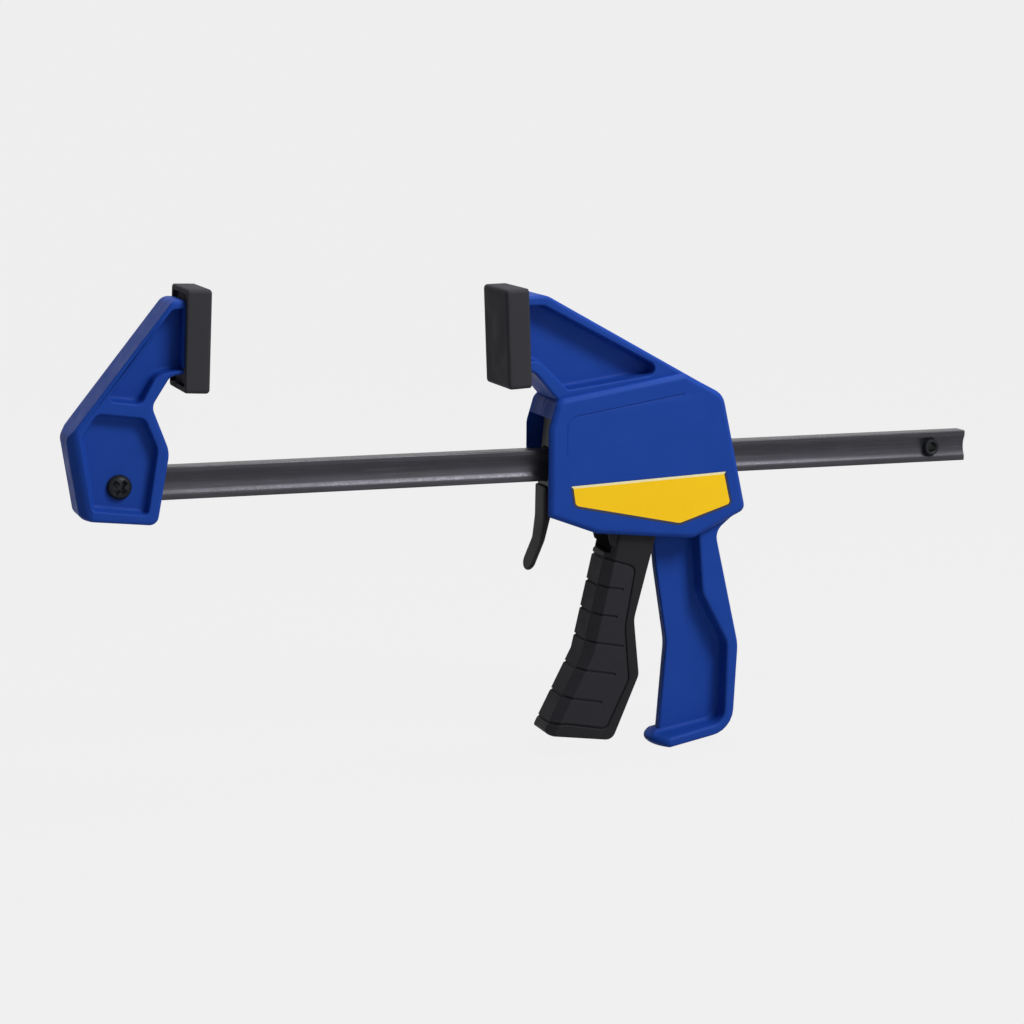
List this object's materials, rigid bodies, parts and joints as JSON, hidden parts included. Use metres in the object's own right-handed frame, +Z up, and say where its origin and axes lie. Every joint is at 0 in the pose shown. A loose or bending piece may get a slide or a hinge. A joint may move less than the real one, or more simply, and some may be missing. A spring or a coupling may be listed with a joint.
{
  "type": "quick release bar clamp",
  "caption": "Quick release bar clamp: a pistol grip head with a trigger and a release lever slides on a steel bar towards a fixed jaw, with soft pads on the jaws.",
  "frame": {"origin": "centre of the fixed pad's clamping face", "axes": "+X along the bar from the fixed jaw to the free end, +Z up from the bar to the jaws, +Y across"},
  "size_m": [0.4783, 0.038, 0.2434],
  "materials": {
    "blackened_steel": "satin",
    "bright_steel": "satin",
    "blue_nylon": "satin",
    "black_nylon": "matte",
    "pad_rubber": "matte",
    "grip_rubber": "matte",
    "band_film": "gloss"
  },
  "bodies": {
    "bar_body": {"bar": "blackened_steel", "stop_pin": "blackened_steel", "fixed_jaw": "blue_nylon", "fixed_pad": "pad_rubber", "jaw_screw": "blackened_steel", "jaw_nut": "bright_steel"},
    "moving_head": {"shell_near": "blue_nylon", "shell_far": "blue_nylon", "moving_pad": "pad_rubber", "band_near": "band_film", "band_far": "band_film", "shell_screws": "blackened_steel", "trigger_pin": "bright_steel", "drive_spring": "bright_steel", "brake_spring": "bright_steel"},
    "trigger_body": {"trigger": "black_nylon", "trigger_grip": "grip_rubber"},
    "release_body": {"brake_plate": "bright_steel", "release_lever": "black_nylon"},
    "drive_body": {"drive_plate_front": "bright_steel", "drive_plate_rear": "bright_steel"}
  },
  "joints": [
    {"name": "jaw_slide", "type": "slide", "parent": "bar_body", "child": "moving_head", "axis": [1, 0, 0], "range_m": [-0.1455, 0.113]},
    {"name": "trigger_hinge", "type": "hinge", "parent": "moving_head", "child": "trigger_body", "pos_m": [0.1965, 0, -0.0467], "axis": [0, -1, 0], "range_deg": [0, 19], "stiffness_Nm_per_rad": 1.5, "springref_deg": -5.73},
    {"name": "drive_slide", "type": "slide", "parent": "moving_head", "child": "drive_body", "axis": [1, 0, 0], "range_m": [0, 0.0115], "deforming": ["drive_spring"]},
    {"name": "release_hinge", "type": "hinge", "parent": "moving_head", "child": "release_body", "pos_m": [0.17833, 0, -0.0435], "axis": [0, -1, 0], "range_deg": [0, 7], "stiffness_Nm_per_rad": 1, "springref_deg": -5.73, "deforming": ["brake_spring"]}
  ],
  "couplings": [
    {"joint": "drive_slide", "follows": "trigger_hinge", "m_per_rad": 0.033}
  ]
}
